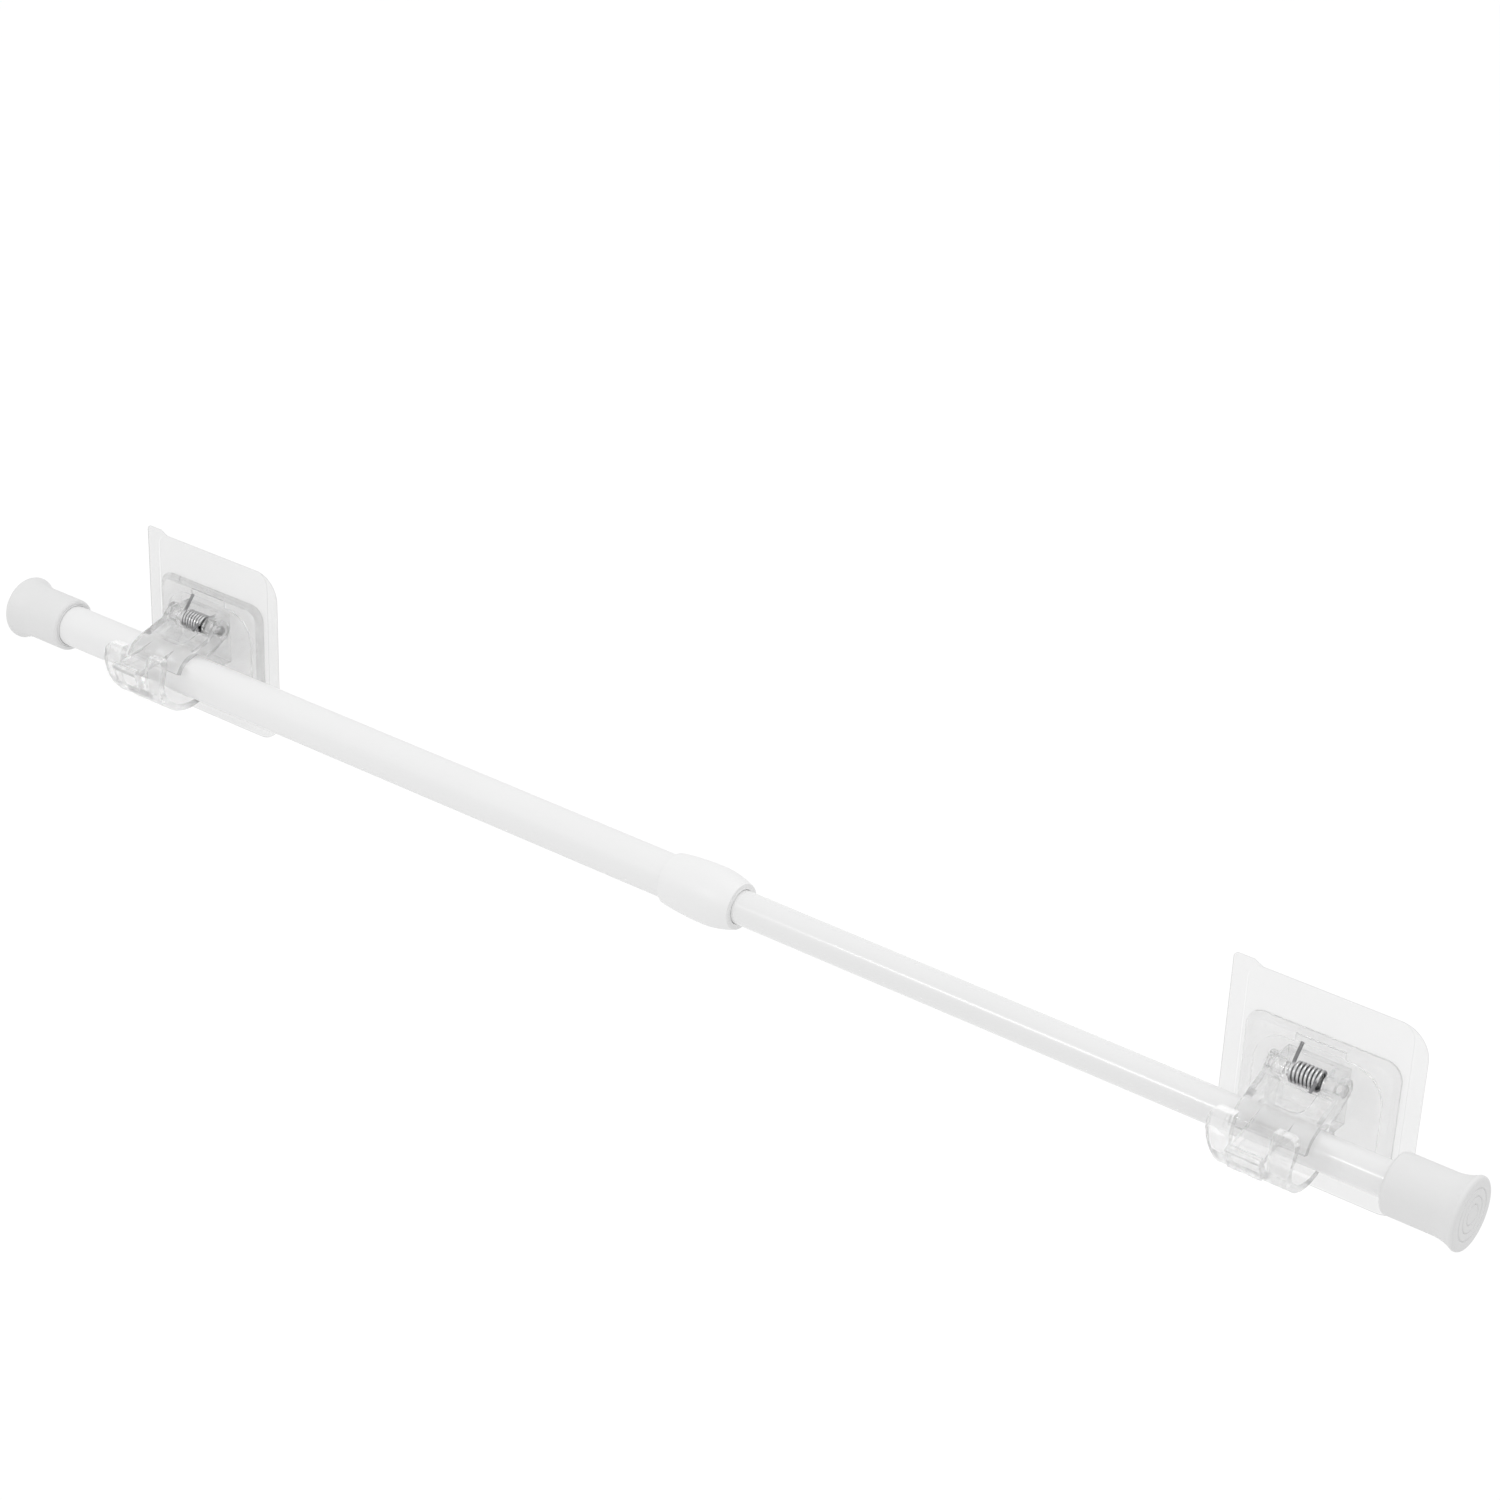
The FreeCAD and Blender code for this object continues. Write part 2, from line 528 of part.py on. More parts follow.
def make_film(side, clip_x):
    """Clear film with a rounded corner all round, a pull tab, and adhesive that stops short at the sides."""
    half = "(film_width / 2)"
    low = f"({film_top} - film_height)"
    body = new_piece(f"wall_film_{side}")
    sketch = new_sketch(body, "film_outline", "XZ_Plane", offset=f"0 - {film_back} + adhesive_thickness")
    outline(sketch, [
        (f"{half} - film_corner", low), (half, f"{low} + film_corner", "film_corner", "left"),
        (half, f"{film_top} - film_corner"),
        (f"{half} - film_corner", film_top, "film_corner", "left"),
        (f"tab_width + 2 * tab_rise - {half}", film_top),
        (f"tab_width - {half}", f"{film_top} + tab_rise"),
        (f"tab_rise - {half}", f"{film_top} + tab_rise"),
        (f"0 - {half}", film_top, "tab_rise", "left"), (f"0 - {half}", f"{low} + film_corner"),
        (f"film_corner - {half}", low, "film_corner", "left")])
    extrude(body, "film", sketch, "film_thickness - adhesive_thickness")
    sketch = new_sketch(body, "adhesive_outline", "XZ_Plane", offset=f"0 - {film_back}")
    outline(sketch, rounded("(film_border - film_width / 2)", "(film_width / 2 - film_border)",
                            f"({film_top} - film_height)", film_top, "film_border"))
    extrude(body, "adhesive", sketch, "adhesive_thickness")
    place(body, clip_x)
    pieces.append(body)


def make_clip_base(side, clip_x):
    """One clear moulding: framed plate, block with two hinge cheeks, and the J-shaped cradle."""
    body = new_piece(f"clip_base_{side}")
    low = f"({plate_top} - plate_height)"
    sketch = new_sketch(body, "plate_outline", "XZ_Plane", offset=f"0 - {plate_back}")
    outline(sketch, rounded("(0 - plate_width / 2)", "(plate_width / 2)", low, plate_top, "plate_corner"))
    plate = extrude(body, "plate", sketch, "plate_thickness")
    document.recompute()

    # the bevel runs round the front face
    front = number_of(plate_front)
    names = [f"Face{index + 1}" for index, face in enumerate(plate.Shape.Faces)
             if abs(face.CenterOfMass.y - front) < 0.001]
    bevel = body.newObject("PartDesign::Chamfer", "bevel")
    bevel.Base = (plate, names)
    bind(bevel, "Size", "plate_bevel")
    document.recompute()

    inset = "(plate_width / 2 - frame_width)"
    sketch = new_sketch(body, "sunk_outline", "XZ_Plane", offset=f"0 - {plate_front} - sunk_depth")
    outline(sketch, rounded(f"(0 - {inset})", inset, f"({low} + frame_width)",
                            f"({plate_top} - frame_width)", "sunk_corner"))
    extrude(body, "sunk_middle", sketch, "sunk_depth * 3", cut=True, back=True)

    # notch in the frame, where the upper leg of the spring bears
    notch_low = f"({plate_top} - plate_bevel - leg_notch_height)"
    sketch = new_sketch(body, "leg_notch_outline", "XZ_Plane", offset=f"0 - {plate_front} - leg_notch_depth")
    outline(sketch, [
        ("leg_notch_width / 2", notch_low), ("leg_notch_width / 2", f"{plate_top} - plate_bevel"),
        ("0 - leg_notch_width / 2", f"{plate_top} - plate_bevel"), ("0 - leg_notch_width / 2", notch_low)])
    extrude(body, "leg_notch", sketch, "leg_notch_depth * 3", cut=True, back=True)

    # block and neck, with round cheeks about the hinge
    cheek_low_y = f"({hinge_y} - cheek_radius * cos(cheek_sweep * 1 deg))"
    cheek_low_z = f"({hinge_z} - cheek_radius * sin(cheek_sweep * 1 deg))"
    block_back = f"({plate_front} + sunk_depth * 1.5)"
    sketch = new_sketch(body, "block_outline", "YZ_Plane")
    outline(sketch, [
        (block_back, "0 - block_foot"), (block_back, f"{hinge_z} + cheek_radius"),
        (hinge_y, f"{hinge_z} + cheek_radius"),
        (f"{hinge_y} - cheek_radius", hinge_z, "cheek_radius", "left"),
        (cheek_low_y, cheek_low_z, "cheek_radius", "left"), (seat_radius, "neck_top"),
        (seat_radius, "cradle_back_top"), (f"{seat_radius} + cradle_wall / 3", "0 - block_foot")])
    extrude(body, "block", sketch, "block_width", both=True)
    document.recompute()

    # pocket between the cheeks for the coil, open at the front and the top
    room = f"({spring_outer} + coil_room)"
    sketch = new_sketch(body, "coil_pocket_outline", "YZ_Plane")
    outline(sketch, [
        (f"{hinge_y} - {room}", hinge_z), (f"{hinge_y}", f"{hinge_z} - {room}", room, "left"),
        (f"{hinge_y} + {room}", hinge_z, room, "left"), (f"{hinge_y} + {room}", f"{plate_top} * 2"),
        (f"0 - {hinge_y}", f"{plate_top} * 2"), (f"0 - {hinge_y}", hinge_z)])
    extrude(body, "coil_pocket", sketch, f"{pocket_half} * 2", cut=True, both=True)

    # cradle: seat behind and under the rod, which runs into a wide curve up to the front wall
    outer_seat = f"({seat_radius} + cradle_wall)"
    outer_round = "(cradle_radius + cradle_wall)"
    rise = f"(cradle_top - {curve_z})"
    inner_run = f"sqrt(cradle_radius * cradle_radius - {rise} * {rise})"
    outer_run = f"sqrt({outer_round} * {outer_round} - {rise} * {rise})"
    turn_y = "cos(seat_turn * 1 deg)"
    turn_z = "sin(seat_turn * 1 deg)"
    sketch = new_sketch(body, "cradle_outline", "YZ_Plane")
    outline(sketch, [
        (seat_radius, "cradle_back_top"), (seat_radius, "0"),
        (f"{seat_radius} * {turn_y}", f"0 - {seat_radius} * {turn_z}", seat_radius, "right"),
        (f"0 - {curve_y}", f"{curve_z} - cradle_radius", "cradle_radius", "right"),
        (f"0 - {curve_y} - cradle_radius", curve_z, "cradle_radius", "right"),
        (f"0 - {curve_y} - {inner_run}", "cradle_top", "cradle_radius", "right"),
        (f"0 - {curve_y} - {outer_run}", "cradle_top"),
        (f"0 - {curve_y} - {outer_round}", curve_z, outer_round, "left"),
        (f"0 - {curve_y}", f"{curve_z} - {outer_round}", outer_round, "left"),
        (f"{outer_seat} * {turn_y}", f"0 - {outer_seat} * {turn_z}", outer_round, "left"),
        (outer_seat, "0", outer_seat, "left"), (outer_seat, "cradle_back_top")])
    extrude(body, "cradle", sketch, "lug_width", both=True)
    document.recompute()

    # seen from the front the cradle is narrow at its foot and spreads to the tops of the lugs
    half_foot = "(cradle_width / 2)"
    half_lug = "(lug_width / 2)"
    for name, sign, side_of_arc in (("right_taper", "1", "right"), ("left_taper", "-1", "left")):
        foot = f"{sign} * {half_foot}"
        lug = f"{sign} * {half_lug}"
        lug_end = f"{sign} * ({half_lug} - lug_round)"
        sketch = new_sketch(body, name + "_outline", "XZ_Plane", offset=f"0 - {seat_radius} + cradle_wall")
        outline(sketch, [
            (foot, f"0 - {plate_top}"), (f"{lug} * 2", f"0 - {plate_top}"),
            (f"{lug} * 2", "cradle_top * 2"), (lug_end, "cradle_top * 2"), (lug_end, "cradle_top"),
            (lug, "cradle_top - lug_round", "lug_round", side_of_arc), (lug, "cradle_top / 2"),
            (foot, "0 - lug_low")])
        extrude(body, name, sketch, f"{plate_top} * 2", cut=True, back=True)
        sketch = new_sketch(body, name + "_back_outline", "XZ_Plane",
                            offset=f"0 - {seat_radius} - cradle_wall * 1.5")
        outline(sketch, [
            (foot, f"0 - {plate_top}"), (f"{lug} * 2", f"0 - {plate_top}"),
            (f"{lug} * 2", "cradle_top"), (foot, "cradle_top")])
        extrude(body, name + "_back", sketch, f"{seat_radius} + cradle_wall * 1.5", cut=True, back=True)
    sketch = new_sketch(body, "notch_outline", "XZ_Plane", offset=curve_y)
    outline(sketch, rounded("(0 - notch_width / 2)", "(notch_width / 2)", "(0 - notch_floor)",
                            "(cradle_top * 2)", "lug_round"))
    extrude(body, "notch", sketch, f"{plate_top} * 2", cut=True, back=True)

    sketch = new_sketch(body, "pin_bore_outline", "YZ_Plane")
    circle(sketch, hinge_y, hinge_z, "pin_radius + pin_gap")
    extrude(body, "pin_bore", sketch, "block_width * 2", cut=True, both=True)
    place(body, clip_x)
    pieces.append(body)


def make_pin(side, clip_x):
    """Clear pin, thick in its bores and waisted inside the spring."""
    end = "(lever_width / 2)"
    waist = f"({pocket_half} - 2 * tube_edge)"
    body = new_piece(f"hinge_pin_{side}")
    revolve(body, "pin", [
        (f"0 - {end}", "0"), (end, "0"), (end, "pin_radius - 2 * tube_edge"),
        (f"{end} - 2 * tube_edge", "pin_radius"), (waist, "pin_radius"),
        (f"{waist} - pin_radius + pin_waist", "pin_waist"),
        (f"pin_radius - pin_waist - {waist}", "pin_waist"), (f"0 - {waist}", "pin_radius"),
        (f"2 * tube_edge - {end}", "pin_radius"), (f"0 - {end}", "pin_radius - 2 * tube_edge")])
    place(body, clip_x, hinge_y, hinge_z)
    pieces.append(body)


def make_lever(side, clip_x, slope):
    """Clear lever: plate and saddle over the rod, side walls with knuckles, and the tongue with its tab.
    In its own frame the hinge is the origin and the plate runs along -Y."""
    half = "(lever_thickness / 2)"
    start = "(cheek_radius + lever_start)"
    wrap = "(saddle_wrap * 1 deg)"
    under = seat_radius
    over = f"({seat_radius} + lever_thickness)"
    body = new_piece(f"clamp_lever_{side}")
    sketch = new_sketch(body, "plate_outline", "YZ_Plane")
    outline(sketch, [
        (f"0 - {start}", f"0 - {half}"), (f"0 - {start}", half), (f"0 - {seat_along}", half),
        (f"0 - {seat_along} - {over} * sin({wrap})", f"{over} * cos({wrap}) - {saddle_middle}",
         over, "left"),
        (f"0 - {seat_along} - {under} * sin({wrap})", f"{under} * cos({wrap}) - {saddle_middle}"),
        (f"0 - {seat_along}", f"0 - {half}", under, "right")])
    extrude(body, "plate", sketch, "lever_width", both=True)
    document.recompute()

    # side walls: a knuckle on the pin, then a web that ends in an arch over the rod
    arch = f"({seat_radius} + arch_room)"
    low = f"({half} + side_depth)"
    arch_drop = f"({saddle_middle} - {low})"
    arch_low = f"({seat_along} - sqrt({arch} * {arch} - {arch_drop} * {arch_drop}))"
    arch_rise = f"({under} + arch_room / 2)"
    arch_high = f"({seat_along} - sqrt({arch} * {arch} - {arch_rise} * {arch_rise}))"
    for name, offset in (("right_side", side_start), ("left_side", "0 - lever_width / 2")):
        sketch = new_sketch(body, name + "_outline", "YZ_Plane", offset=offset)
        outline(sketch, [
            ("0", "cheek_radius", "cheek_radius", "left"), (f"0 - {start} - {half}", f"{half} / 2"),
            (f"0 - {arch_high}", f"{arch_rise} - {saddle_middle}"),
            (f"0 - {arch_low}", f"0 - {low}", arch, "right"),
            (f"0 - {start}", f"0 - {low}"), ("0", "0 - cheek_radius"),
            ("cheek_radius", "0", "cheek_radius", "left")])
        extrude(body, name, sketch, side_wall)
        document.recompute()

    # tongue and press tab
    tip = f"({seat_along} + tongue_length)"
    sketch = new_sketch(body, "tongue_outline", "YZ_Plane")
    outline(sketch, [
        (f"0 - {seat_along}", f"0 - {half}"), (f"0 - {seat_along}", half),
        (f"0 - {tip}", f"{half} + tongue_lift"), (f"0 - {tip}", f"{half} + tongue_lift + press_tab_rise"),
        (f"0 - {tip} - press_tab", f"{half} + tongue_lift + press_tab_rise"),
        (f"0 - {tip} - press_tab", f"tongue_lift - {half} - press_tab_drop"),
        (f"0 - {tip}", f"tongue_lift - {half} - press_tab_drop"), (f"0 - {tip}", f"tongue_lift - {half}")])
    extrude(body, "tongue", sketch, "tongue_width", both=True)
    document.recompute()

    # pocket in the top for the lower leg of the spring, rounded at its far end
    far = f"({start} + spring_pocket_length)"
    pocket_round = "(spring_pocket_width / 3)"
    sketch = new_sketch(body, "leg_pocket_outline", "XY_Plane", offset=f"{half} - spring_pocket_depth")
    outline(sketch, [
        ("spring_pocket_width / 2", "0"), ("0 - spring_pocket_width / 2", "0"),
        ("0 - spring_pocket_width / 2", f"{pocket_round} - {far}"),
        (f"{pocket_round} - spring_pocket_width / 2", f"0 - {far}", pocket_round, "left"),
        (f"spring_pocket_width / 2 - {pocket_round}", f"0 - {far}"),
        ("spring_pocket_width / 2", f"{pocket_round} - {far}", pocket_round, "left")])
    extrude(body, "leg_pocket", sketch, "lever_thickness * 2", cut=True, back=True)

    sketch = new_sketch(body, "pin_bore_outline", "YZ_Plane")
    circle(sketch, "0", "0", "pin_radius + pin_gap")
    extrude(body, "pin_bore", sketch, "lever_width * 2", cut=True, both=True)
    place(body, clip_x, hinge_y, hinge_z, slope)
    pieces.append(body)


def make_torsion_spring(side, clip_x, slope):
    """Bright wire: a close coil round the pin, one leg up against the plate, one down on the lever.
    In its own frame the coil runs round the X axis and the upper leg leaves it along -Z."""
    leg_height = "(lever_thickness / 2 - spring_pocket_depth + spring_wire / 2 + leg_gap)"
    span = "sqrt(spring_radius * spring_radius + lower_leg * lower_leg)"
    dip = f"(acos({leg_height} / {span}) - atan(lower_leg / spring_radius))"
    spare = f"(90 deg + {slope} + {dip} - spring_start * 1 deg)"
    body = new_piece(f"torsion_spring_{side}")
    sketch = new_sketch(body, "wire_outline", "XY_Plane")
    wire_section(sketch, f"(0 - {spring_half})", "spring_radius", "spring_wire / 2")
    coil = body.newObject("PartDesign::AdditiveHelix", "coil")
    coil.Profile = sketch
    coil.ReferenceAxis = (sketch, ["H_Axis"])
    coil.Mode = "height-turns-angle"
    bind(coil, "Height", f"{spring_half} * 2")
    bind(coil, "Turns", f"spring_turns + {spare} / 360 deg")
    document.recompute()
    sketch = new_sketch(body, "upper_leg_outline", "XY_Plane")
    wire_section(sketch, f"(0 - {spring_half})", "spring_radius", "spring_wire / 2")
    extrude(body, "upper_leg", sketch, "upper_leg", back=True)
    sketch = new_sketch(body, "lower_leg_outline", "XY_Plane", turn=spare)
    wire_section(sketch, spring_half, "spring_radius", "spring_wire / 2")
    extrude(body, "lower_leg", sketch, "lower_leg")
    place(body, clip_x, hinge_y, hinge_z, "spring_start * 1 deg")
    pieces.append(body)


make_tubes()
make_collar()
make_cap("end_cap_left", outer_radius, "0", 0)
make_cap("end_cap_right", inner_radius, right_end_x, 180)
make_lock()
make_tension_spring()
for side, clip_x, slope in (
        ("left", "left_clip_x", lever_slope), ("right", right_clip_x, thin_slope)):
    make_film(side, clip_x)
    make_clip_base(side, clip_x)
    make_pin(side, clip_x)
    make_lever(side, clip_x, slope)
    make_torsion_spring(side, clip_x, slope)

document.recompute()

faulty = [thing.Label for thing in document.Objects if "Invalid" in thing.State or "Error" in thing.State]
faulty += [piece.Label for piece in pieces if piece.Shape.isNull() or not piece.Shape.isValid()]
if faulty:
    raise RuntimeError("these did not build: " + ", ".join(faulty))

os.makedirs("parts", exist_ok=True)
for piece in pieces:
    piece.Shape.exportStep(f"parts/{piece.Label}.step")
    print(piece.Label, len(piece.Shape.Solids), round(piece.Shape.Volume, 1))
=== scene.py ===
import math
import bmesh
import bpy
from mathutils import Matrix, Vector


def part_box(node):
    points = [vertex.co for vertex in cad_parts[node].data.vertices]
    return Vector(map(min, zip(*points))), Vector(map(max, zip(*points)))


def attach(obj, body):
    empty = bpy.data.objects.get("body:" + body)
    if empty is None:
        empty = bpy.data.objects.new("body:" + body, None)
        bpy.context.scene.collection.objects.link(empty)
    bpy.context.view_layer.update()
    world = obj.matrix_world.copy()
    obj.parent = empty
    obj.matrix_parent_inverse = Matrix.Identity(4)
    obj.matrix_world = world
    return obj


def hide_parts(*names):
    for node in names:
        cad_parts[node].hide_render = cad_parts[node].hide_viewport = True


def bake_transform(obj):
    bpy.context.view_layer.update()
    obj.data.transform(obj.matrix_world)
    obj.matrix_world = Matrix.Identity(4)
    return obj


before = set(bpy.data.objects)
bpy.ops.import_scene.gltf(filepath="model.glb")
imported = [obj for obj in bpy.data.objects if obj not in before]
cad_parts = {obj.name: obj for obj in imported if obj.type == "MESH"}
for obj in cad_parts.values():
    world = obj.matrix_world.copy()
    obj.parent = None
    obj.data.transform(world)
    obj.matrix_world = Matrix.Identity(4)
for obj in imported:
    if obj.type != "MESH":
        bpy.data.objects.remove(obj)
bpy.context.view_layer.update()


# Two tubes: thin steel, drawn and seam-welded, then stoved in gloss white enamel.
# The enamel is very slightly uneven, with a fine peel, and the thinner tube slides in the thicker one.
class Value:
    """A shader socket that takes part in plain arithmetic."""

    def __init__(self, finish, socket):
        self.finish = finish
        self.socket = socket

    def math(self, operation, *values):
        return self.finish.node("ShaderNodeMath", {"operation": operation}, dict(enumerate(values)))

    def __add__(self, other):
        return self.math("ADD", self, other)

    def __radd__(self, other):
        return self.math("ADD", other, self)

    def __sub__(self, other):
        return self.math("SUBTRACT", self, other)

    def __rsub__(self, other):
        return self.math("SUBTRACT", other, self)

    def __mul__(self, other):
        return self.math("MULTIPLY", self, other)

    def __rmul__(self, other):
        return self.math("MULTIPLY", other, self)

    def __truediv__(self, other):
        return self.math("DIVIDE", self, other)

    def at_most(self, other):
        return self.math("MINIMUM", self, other)

    def at_least(self, other):
        return self.math("MAXIMUM", self, other)


class Finish:
    """The nodes of one material, or of the light in the room."""

    def __init__(self, name, shelf=bpy.data.materials, end="ShaderNodeOutputMaterial"):
        self.made = shelf.new(name)
        self.made.use_nodes = True
        self.tree = self.made.node_tree
        self.tree.nodes.clear()
        self.end = end

    def node(self, kind, settings=None, inputs=None, out=0):
        made = self.tree.nodes.new(kind)
        for name, setting in (settings or {}).items():
            setattr(made, name, setting)
        for name, given in (inputs or {}).items():
            if isinstance(given, Value):
                self.tree.links.new(given.socket, made.inputs[name])
            else:
                made.inputs[name].default_value = given
        return Value(self, made.outputs[out])

    def place(self):
        """Where a point lies on the rod, in metres."""
        return self.node("ShaderNodeTexCoord", out="Object")

    def vector(self, operation, *values, out=0):
        return self.node("ShaderNodeVectorMath", {"operation": operation}, dict(enumerate(values)), out=out)

    def noise(self, scale, detail=2.0, roughness=0.5, stretch=None):
        where = self.place()
        if stretch:
            where = self.node("ShaderNodeMapping", inputs={"Vector": where, "Scale": stretch})
        return self.node("ShaderNodeTexNoise", inputs={
            "Vector": where, "Scale": scale, "Detail": detail, "Roughness": roughness})

    def shades(self, factor, low, high):
        """A colour that goes from low to high with the factor."""
        return self.node("ShaderNodeMix", {"data_type": "RGBA"}, {0: factor, 6: (*low, 1), 7: (*high, 1)}, out=2)

    def bump(self, height, strength, distance):
        return self.node("ShaderNodeBump", inputs={
            "Strength": strength, "Distance": distance, "Height": height})

    def surface(self, shader):
        output = self.tree.nodes.new(self.end)
        self.tree.links.new(shader.socket, output.inputs["Surface"])
        return self


def dress(node, finish):
    """Gives a piece of the rod its finish."""
    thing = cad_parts[node]
    thing.data.materials.clear()
    thing.data.materials.append(finish.made)


enamel = Finish("soft_white_enamel")
cloud = enamel.noise(28, 3)
peel = enamel.noise(900, 2)
enamel.surface(enamel.node("ShaderNodeBsdfPrincipled", inputs={
    "Base Color": enamel.shades(cloud, (0.83, 0.83, 0.83), (0.86, 0.86, 0.86)),
    "Roughness": 0.42 + 0.1 * cloud,
    "Normal": enamel.bump(peel, 0.05, 0.0001)}))
dress("outer_tube", enamel)

gloss = Finish("gloss_white_enamel")
cloud = gloss.noise(28, 3)
peel = gloss.noise(900, 2)
gloss.surface(gloss.node("ShaderNodeBsdfPrincipled", inputs={
    "Base Color": gloss.shades(cloud, (0.805, 0.805, 0.805), (0.835, 0.835, 0.835)),
    "Roughness": 0.2 + 0.08 * cloud,
    "Normal": gloss.bump(peel, 0.04, 0.0001),
    "Coat Weight": 0.25,
    "Coat Roughness": 0.1}))
dress("inner_tube", gloss)


# Collar: one white moulding pushed over the end of the thicker tube, with a satin tool finish.
# It hides the cut edge, and a thin lip in its mouth guides the thinner tube.
satin = Finish("satin_white_moulding")
cloud = satin.noise(60, 3)
grain = satin.noise(2600, 2)
satin.surface(satin.node("ShaderNodeBsdfPrincipled", inputs={
    "Base Color": satin.shades(cloud, (0.84, 0.84, 0.84), (0.87, 0.87, 0.87)),
    "Roughness": 0.38 + 0.12 * cloud,
    "Normal": satin.bump(grain, 0.12, 0.0001)}))
dress("tube_collar", satin)


thin_radius = 0.005
lip_half_length = 0.0006
lip_half_height = 0.00024
lip_middle = 0.00027
lip_sides = 14
lip_steps = 96


def soft_lip(name, finish, along, tube_radius, body):
    """The thin lip inside a mouth, which hugs the tube."""
    turns = [math.tau * step / lip_sides for step in range(lip_sides)]
    mesh = bmesh.new()
    rings = []
    for step in range(lip_steps):
        angle = math.tau * step / lip_steps
        ring = []
        for turn in turns:
            reach = tube_radius + lip_middle + lip_half_height * math.sin(turn)
            ring.append(mesh.verts.new((along + lip_half_length * math.cos(turn),
                                        reach * math.cos(angle), reach * math.sin(angle))))
        rings.append(ring)
    for ring, following in zip(rings, rings[1:] + rings[:1]):
        for side in range(lip_sides):
            after = (side + 1) % lip_sides
            mesh.faces.new((ring[side], ring[after], following[after], following[side])).smooth = True
    bmesh.ops.recalc_face_normals(mesh, faces=mesh.faces)
    data = bpy.data.meshes.new(name)
    mesh.to_mesh(data)
    mesh.free()
    data.materials.append(finish.made)
    lip = bpy.data.objects.new(name, data)
    bpy.context.scene.collection.objects.link(lip)
    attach(lip, body)


collar_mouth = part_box("tube_collar")[1].x
soft_lip("collar_lip", satin, collar_mouth - 0.0004, thin_radius, "rod_outer")


# End caps: soft white rubber, pushed on, with a flared end, rings in the gripping face and a soft lip
# in the mouth. The rubber is matt, with faint flow marks along it and a little dust in the grain.
rubber = Finish("soft_white_rubber")
flow = rubber.noise(120, 4, 0.6, stretch=(0.35, 1.0, 1.0))
grain = rubber.noise(3200, 3)
dust = rubber.noise(420, 5, 0.7)
rubber.surface(rubber.node("ShaderNodeBsdfPrincipled", inputs={
    "Base Color": rubber.shades(0.7 * flow + 0.3 * dust, (0.745, 0.745, 0.745), (0.795, 0.795, 0.795)),
    "Roughness": 0.52 + 0.16 * flow,
    "Normal": rubber.bump(grain + 0.4 * flow, 0.2, 0.00012)}))
dress("end_cap_left", rubber)
dress("end_cap_right", rubber)
thick_radius = 0.0065
lip_inset = 0.0003
left_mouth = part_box("end_cap_left")[1].x
right_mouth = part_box("end_cap_right")[0].x
soft_lip("cap_lip_left", rubber, left_mouth - lip_inset, thick_radius, "rod_outer")
soft_lip("cap_lip_right", rubber, right_mouth + lip_inset, thin_radius, "rod_inner")


# Wall films: clear soft film with a clear adhesive behind it, die-cut with a pull tab.
# Too thin to bend what is seen through it, it has a light grey tint, darker at a glance along it,
# with faint waves and trapped specks. The left film's tint is heavier than the right's: painted shade.
wall_face = 0.0191
adhesive_thickness = 0.00025
# Left film: a heavier tint than the right, a painted shade on the left film.
for side, tint_and_painted_shade in (("left", 0.2), ("right", 0.15)):
    film = Finish(f"clear_film_{side}")
    wave = film.noise(55, 2)
    speck = film.noise(1500, 1)
    glance = film.node("ShaderNodeLayerWeight", inputs={"Blend": 0.35}, out="Facing")
    upright = film.vector("ABSOLUTE", film.node("ShaderNodeTexCoord", out="Normal"))
    facing_wall = film.vector("DOT_PRODUCT", upright, (0, 1, 0), out="Value")
    depth = film.vector("DOT_PRODUCT", film.place(), (0, 1, 0), out="Value")
    before_adhesive = ((wall_face - adhesive_thickness - depth) / 0.00002).at_least(0).at_most(1)
    # The cut edges are drawn greyer and more opaque than the flat faces, a painted shade along the edges; edge
    # faces on the wall side of the adhesive are left clear.
    edge = 1 - facing_wall
    film.surface(film.node("ShaderNodeBsdfPrincipled", inputs={
        "Base Color": film.shades(0.6 * wave + 0.2 * speck + 0.3 * facing_wall, (0.58, 0.58, 0.58),
                                  (0.75, 0.75, 0.75)),
        "Roughness": 0.16 + 0.12 * wave,
        "IOR": 1.4,
        "Alpha": ((tint_and_painted_shade + 0.04 * wave + 0.4 * glance * glance + 0.5 * edge)
                  * (1 - edge * (1 - before_adhesive))).at_most(0.9),
        "Normal": film.bump(wave + 0.02 * speck, 0.1, 0.0006)}))
    dress(f"wall_film_{side}", film)


# Clip mouldings: clear polished plastic. The base carries the plate, the hinge block and the cradle,
# and the lever clamps the rod. Flow lines and polish marks break up the reflections.
clear = Finish("clear_moulding")
flow = clear.noise(180, 3, 0.55)
clear.surface(clear.node("ShaderNodeBsdfPrincipled", inputs={
    "Base Color": clear.shades(flow, (0.985, 0.985, 0.985), (1.0, 1.0, 1.0)),
    "Roughness": 0.005 + 0.015 * flow,
    "IOR": 1.4,
    "Transmission Weight": 0.95,
    "Alpha": 0.74,
    "Normal": clear.bump(flow, 0.12, 0.0005)}))
for side in ("left", "right"):
    for piece in ("clip_base", "clamp_lever", "hinge_pin"):
        dress(f"{piece}_{side}", clear)


# Torsion springs: bright music wire wound round the hinge pin in about seven turns side by side.
# The upper leg stays against the base, the coil twists, and the lower leg presses the lever on the rod.
# The base colour paints a highlight on the crests of the turns, shade where they lie side by side, and shade on
# the legs.
crest_highlight_height = 0.00045
leg_shade_start = 0.0006
wire_sides = 12
steps_per_turn = 26


